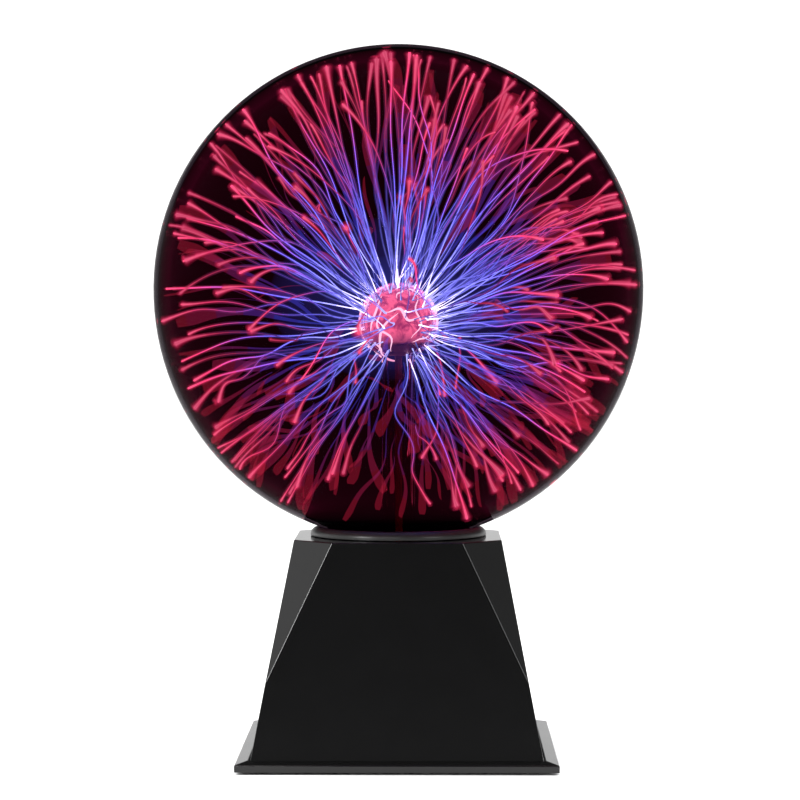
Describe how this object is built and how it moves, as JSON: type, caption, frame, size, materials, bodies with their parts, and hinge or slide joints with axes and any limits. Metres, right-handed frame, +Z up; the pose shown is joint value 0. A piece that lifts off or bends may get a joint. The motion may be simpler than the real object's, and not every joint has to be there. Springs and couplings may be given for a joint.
{
  "type": "plasma ball",
  "caption": "Plasma ball: a smoked glass globe on a tapered square pedestal, with a central electrode, a high-voltage supply inside and a slide switch at the rear.",
  "frame": {"origin": "on the surface that the rubber feet stand on, under the middle of the globe", "axes": "+Z up through the globe's neck, front towards -Y, the switch and socket on the +Y side"},
  "size_m": [0.203, 0.203, 0.294],
  "materials": {
    "casing": "satin black injection-moulded ABS",
    "trim": "semi-gloss black plastic",
    "rubber": "matte black rubber",
    "globe_glass": "smoked, polished",
    "stem_glass": "clear, lit pink by the discharge",
    "electrode": "packed conductive wool, glowing pink",
    "steel": "zinc-plated",
    "brass": "plated contact",
    "aluminium": "extruded",
    "laminate": "green solder mask on glass-epoxy",
    "epoxy": "moulded black epoxy",
    "ferrite": "sintered ferrite",
    "sleeve": "shrunk blue sleeve",
    "copper": "enamelled copper wire",
    "film": "dipped resin",
    "ceramic": "cemented",
    "red_wire": "PVC or silicone insulation",
    "black_wire": "PVC insulation",
    "yellow_wire": "PVC insulation",
    "white_wire": "PVC insulation"
  },
  "bodies": {
    "casing": {"body_shell": "casing", "base_plate": "casing", "neck_clamp": "casing", "neck_collar": "trim", "dc_jack_body": "trim", "neck_gasket": "rubber", "hv_boot": "rubber", "microphone_grommet": "rubber", "foot_rear_right": "rubber", "foot_rear_left": "rubber", "foot_front_left": "rubber", "foot_front_right": "rubber", "globe_glass": "globe_glass", "electrode_stem": "stem_glass", "exhaust_tip": "stem_glass", "electrode_ball": "electrode", "base_screw_rear_right": "steel", "base_screw_rear_left": "steel", "base_screw_front_left": "steel", "base_screw_front_right": "steel", "clamp_screw_rear_right": "steel", "clamp_screw_rear_left": "steel", "clamp_screw_front_left": "steel", "clamp_screw_front_right": "steel", "board_screw_rear_right": "steel", "board_screw_rear_left": "steel", "board_screw_front_left": "steel", "board_screw_front_right": "steel", "transistor_screw": "steel", "switch_housing": "steel", "switch_screw_left": "steel", "switch_screw_right": "steel", "dc_jack_nut": "steel", "dc_jack_pin": "brass", "heat_sink": "aluminium", "microphone_capsule": "aluminium", "circuit_board": "laminate", "flyback_housing": "epoxy", "power_transistor": "epoxy", "timer_chip": "epoxy", "flyback_core": "ferrite", "main_capacitor": "sleeve", "small_capacitor": "sleeve", "choke_coil": "copper", "film_capacitor": "film", "power_resistor": "ceramic", "hv_lead": "red_wire", "power_lead_positive": "red_wire", "power_lead_negative": "black_wire", "switch_lead_sound": "yellow_wire", "switch_lead_on": "white_wire", "microphone_lead": "white_wire"},
    "switch": {"switch_slider": "trim"}
  },
  "joints": [
    {"name": "switch_slide", "type": "slide", "parent": "casing", "child": "switch", "axis": [1, 0, 0], "range_m": [0, 0.006]}
  ]
}
